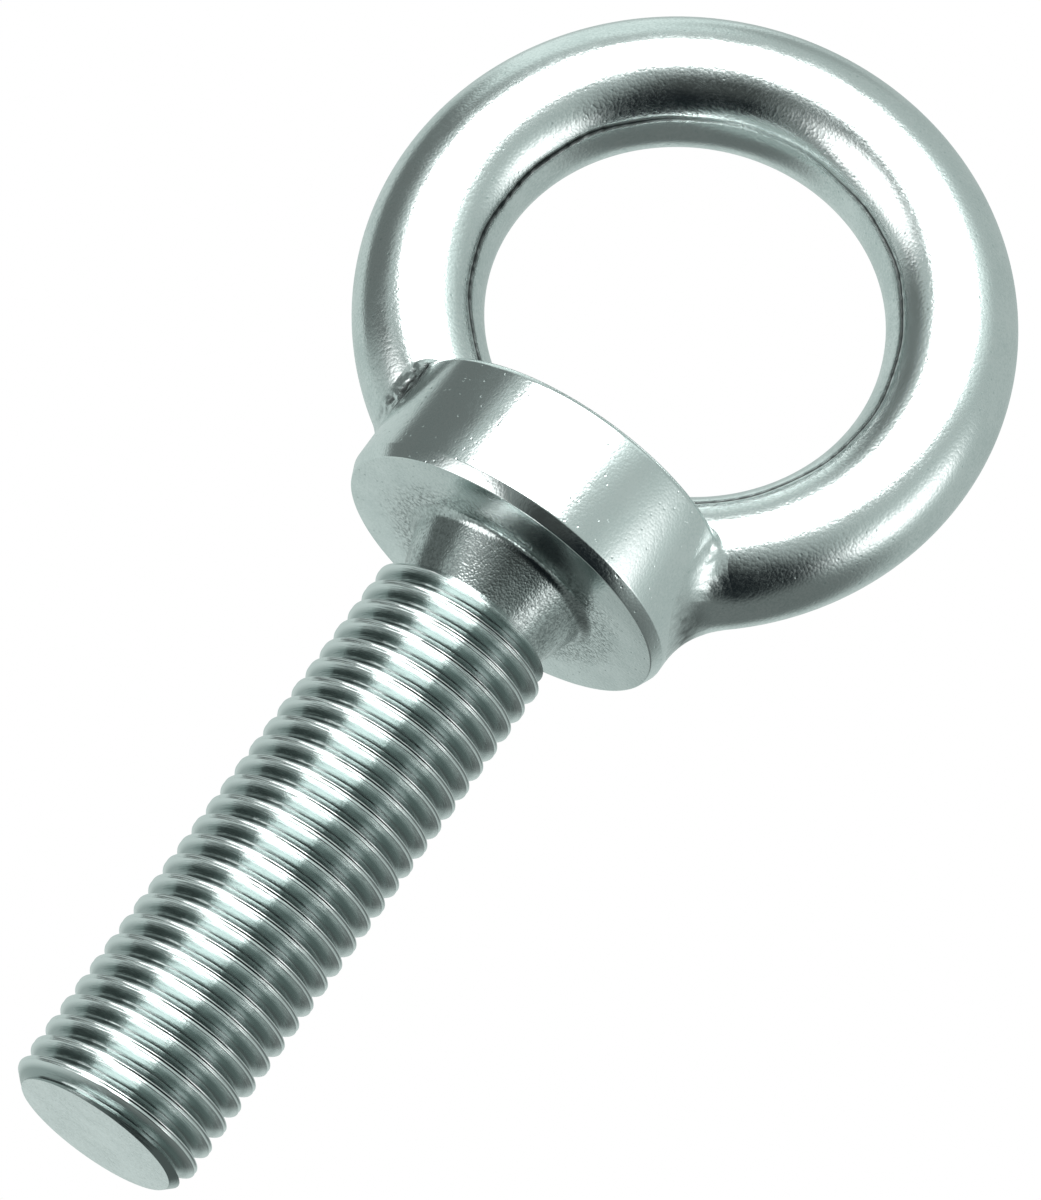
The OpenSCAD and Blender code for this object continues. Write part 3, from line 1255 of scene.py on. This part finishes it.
@dataclass
class Studio:
    """Soft white panels, dark cards, a pale floor and the camera."""

    panels: tuple[Panel, ...] = (
        Panel("rim wash", -60, -12, 52, 46, 18, tone(0.62)),
        Panel("under card", -140, -46, 50, 46, 14, tone(0.17)),
        Panel("front card", 101, -50, 62, 44, 22, tone(0.22)),
        Panel("side card", 5, 8, 24, 28, 6, tone(0.17), PanelShape.SQUARE),
        Panel("upper fill", -16, 52, 24, 16, 6, tone(0.86), PanelShape.SQUARE),
        Panel("high card", -33, 70, 12, 8, 6, tone(0.36), PanelShape.SQUARE),
        Panel("left fill", 163, 8, 24, 20, 10, tone(0.72)),
        Panel("camera shade", 140, -44, 35, 31, 12, (0.010, 0.014, 0.016)),
        Panel("lens shade", 104, -26, 16, 15, 10, tone(0.05)),
        Panel("softbox glow", 97, 38, 30, 20, 12, tone(0.95), roll=35),
        Panel("main softbox", 77, 24, 33, 24, 4, (5.0, 5.0, 5.0), roll=35),
        Panel("low softbox", 45, -36, 21, 20, 6, (2.2, 2.2, 2.2)),
        Panel("side softbox", 163, 6, 13, 15, 8, (1.9, 1.9, 1.9)),
    )
    surround: Colour = field(default_factory=lambda: tone(0.50))

    def light(self) -> None:
        """Builds the studio in the world shader: white to the camera, panels to the steel."""
        world = bpy.data.worlds.new("studio")
        bpy.context.scene.world = world
        world.use_nodes = True
        b = NodeBench(world.node_tree)
        ray = b.add("ShaderNodeTexCoord").outputs["Generated"]
        colour: object = (*self.surround, 1.0)
        group = self._panel_group()
        for panel in self.panels:
            middle, across, up = panel.axes()
            node = b.add("ShaderNodeGroup", node_tree=group, label=panel.name)
            for name, value in (
                ("Ray", ray), ("Middle", middle), ("Across", across), ("Up", up), ("Behind", colour),
                ("Light", (*panel.light, 1.0)),
                ("Width", math.tan(math.radians(panel.half_width) / 2)),
                ("Height", math.tan(math.radians(panel.half_height) / 2)),
                ("Softness", math.radians(panel.softness) / 2),
                ("Squareness", 1.0 if panel.shape is PanelShape.SQUARE else 0.0),
            ):
                b.feed(node.inputs[name], value)
            colour = node.outputs["Color"]
        seen = b.add("ShaderNodeLightPath").outputs["Is Camera Ray"]
        shown = b.blend(seen, colour, (1.0, 1.0, 1.0, 1.0))
        background = b.add("ShaderNodeBackground")
        b.feed(background.inputs["Color"], shown)
        b.feed(b.add("ShaderNodeOutputWorld").inputs["Surface"], background.outputs[0])

    @staticmethod
    def _panel_group() -> bpy.types.NodeTree:
        """A group that lays one panel over what is behind it.

        Returns:
            The group.
        """
        tree, b, given, out = open_group(
            "studio panel",
            [("Ray", VECTOR, 0), ("Middle", VECTOR, 0), ("Across", VECTOR, 0), ("Up", VECTOR, 0),
             ("Behind", COLOUR, 0), ("Light", COLOUR, 0), ("Width", FLOAT, 1), ("Height", FLOAT, 1),
             ("Softness", FLOAT, 0.1), ("Squareness", FLOAT, 0)],
            [("Color", COLOUR)],
        )
        ray = given.outputs["Ray"]
        ahead = b.vector("DOT_PRODUCT", ray, given.outputs["Middle"], out="Value")
        x = b.vector("DOT_PRODUCT", ray, given.outputs["Across"], out="Value")
        y = b.vector("DOT_PRODUCT", ray, given.outputs["Up"], out="Value")
        # tangent of half the angle off the middle, so that a panel may cover more than a half space
        spread = b.math("ADD", ahead, 1.0001)
        u = b.math("DIVIDE", b.math("DIVIDE", x, spread), given.outputs["Width"])
        v = b.math("DIVIDE", b.math("DIVIDE", y, spread), given.outputs["Height"])
        disc = b.math("SQRT", b.math("ADD", b.math("MULTIPLY", u, u), b.math("MULTIPLY", v, v)))
        box = b.math("MAXIMUM", b.math("ABSOLUTE", u), b.math("ABSOLUTE", v))
        square = given.outputs["Squareness"]
        reach = b.math("ADD", b.math("MULTIPLY", disc, b.math("SUBTRACT", 1.0, square)), b.math("MULTIPLY", box, square))
        soft = b.math("DIVIDE", given.outputs["Softness"], given.outputs["Width"])
        mask = b.add("ShaderNodeMapRange", interpolation_type="SMOOTHSTEP")
        b.feed(mask.inputs[0], reach)
        b.feed(mask.inputs[1], b.math("ADD", 1.0, soft))
        b.feed(mask.inputs[2], b.math("SUBTRACT", 1.0, soft))
        b.feed(out.inputs["Color"], b.blend(mask.outputs[0], given.outputs["Behind"], given.outputs["Light"]))
        return tree

    @staticmethod
    def lay_floor() -> None:
        """Lays a plain pale floor well below the bolt and the camera."""
        leave_edit_mode()
        bpy.ops.mesh.primitive_circle_add(vertices=96, radius=9.0, fill_type="NGON", location=(0, 0, -0.32))
        floor = bpy.context.object
        floor.name = "pale_floor"
        material = bpy.data.materials.new("pale_floor")
        material.use_nodes = True
        shader = material.node_tree.nodes["Principled BSDF"]
        shader.inputs["Base Color"].default_value = (0.9, 0.9, 0.9, 1)
        shader.inputs["Roughness"].default_value = 0.9
        shader.inputs["Emission Color"].default_value = (1, 1, 1, 1)
        shader.inputs["Emission Strength"].default_value = 0.9
        floor.data.materials.append(material)
        floor.visible_glossy = False

    @staticmethod
    def stand_camera() -> None:
        """Stands the camera below the eye's height, in front, with the bolt rising to the right."""
        place = Vector((-0.122155, 0.595226, -0.230672))
        aim = Vector((-0.00299, -0.00094, -0.00070))
        roll = math.radians(35.79)
        data = bpy.data.cameras.new("view")
        data.sensor_width, data.lens = 36.0, 195.0
        data.clip_start, data.clip_end = 0.01, 50.0
        camera = bpy.data.objects.new("view", data)
        bpy.context.scene.collection.objects.link(camera)
        turned = (aim - place).to_track_quat("-Z", "Y").to_matrix() @ Matrix.Rotation(roll, 3, "Z")
        camera.matrix_world = Matrix.Translation(place) @ turned.to_4x4()
        bpy.context.scene.camera = camera


def forged_finish() -> SteelFinish:
    """Finish of the tumbled, polished forging, with painted shade in the punched line and in the roots' pockets,
    crease and underside.
    """
    return SteelFinish(
        Slot.POLISHED, bright=(0.80, 0.845, 0.835), dull_and_shade=(0.60, 0.67, 0.66), smooth=0.15, rough=0.27,
        grain_cells=3000, grain_depth=0.0085 * MM, pit_depth=1.2, ripple_cells=120, ripple_depth=0.06 * MM,
        domes=1.2, paints_shade=True,
    )


def turned_finish() -> SteelFinish:
    """Finish of the turned and polished collar, with coarser grain and painted shade specks on the seat round the
    neck.
    """
    return SteelFinish(
        Slot.TURNED, bright=(0.81, 0.855, 0.845), dull_and_shade=(0.66, 0.73, 0.72), smooth=0.10, rough=0.20,
        grain_cells=3500, grain_depth=0.005 * MM, pit_depth=4.0, ripple_cells=110, ripple_depth=0.05 * MM,
        domes=1.2, coarse_by_neck=4.5,
    )


def neck_finish() -> SteelFinish:
    """Coarse, blasted-looking finish of the neck, its colours darkened far below the collar's as painted shade for the
    dark the neck reflects.
    """
    return SteelFinish(
        Slot.TURNED, bright=(0.62, 0.67, 0.66), dull_and_shade=(0.10, 0.13, 0.125), smooth=0.12, rough=0.25,
        grain_cells=4600, grain_depth=0.0065 * MM, pit_depth=2.5, ripple_cells=150, ripple_depth=0.05 * MM,
        domes=2.0,
    )


def thread_finish() -> SteelFinish:
    """Finish of the rolled thread; its darker colour is painted shade in the grooves."""
    return SteelFinish(
        Slot.THREAD, bright=(0.80, 0.845, 0.835), dull_and_shade=(0.33, 0.385, 0.375), smooth=0.06, rough=0.13,
        grain_cells=3200, grain_depth=0.004 * MM, pit_depth=0.2, ripple_cells=260, ripple_depth=0.04 * MM,
        threaded=True,
    )


def sawn_finish() -> SteelFinish:
    """Dull, light finish of the shank's flat end."""
    return SteelFinish(
        Slot.THREAD, bright=(0.93, 0.96, 0.955), dull_and_shade=(0.86, 0.90, 0.89), smooth=0.18, rough=0.28,
        grain_cells=2400, grain_depth=0.012 * MM, pit_depth=0.2, ripple_cells=150, ripple_depth=0.05 * MM,
    )


def main() -> None:
    """Builds the bolt's pieces and the studio."""
    logging.basicConfig(level=logging.INFO, format="%(name)s: %(message)s")
    sizes = BoltSizes.from_frame()
    LOG.info("sizes: %s", sizes)
    effects = SurfaceEffects()
    forged = forged_finish().build(effects, sizes)
    turned = turned_finish().build(effects, sizes)
    grained = neck_finish().build(effects, sizes, "grained_neck")
    threaded = thread_finish().build(effects, sizes)
    sawn = sawn_finish().build(effects, sizes, "sawn_end")
    eye, roots = LiftingEye(sizes), EyeRoots(sizes)
    collar, neck, shank = Collar(sizes), Neck(sizes), ThreadedShank(sizes)
    eye.mount(eye.build(), "lifting_eye", forged, Slot.POLISHED)
    roots.mount(roots.build(), "eye_roots", forged, Slot.POLISHED)
    collar.mount(collar.build(), "collar", turned, Slot.TURNED)
    neck.mount(neck.build(), "neck", grained, Slot.TURNED)
    shank.face_end(shank.mount(shank.build(), "threaded_shank", threaded, Slot.THREAD), sawn)
    bpy.context.scene.view_settings.view_transform = "Standard"
    studio = Studio()
    studio.light()
    studio.lay_floor()
    studio.stand_camera()


if __name__ == "__main__":
    main()
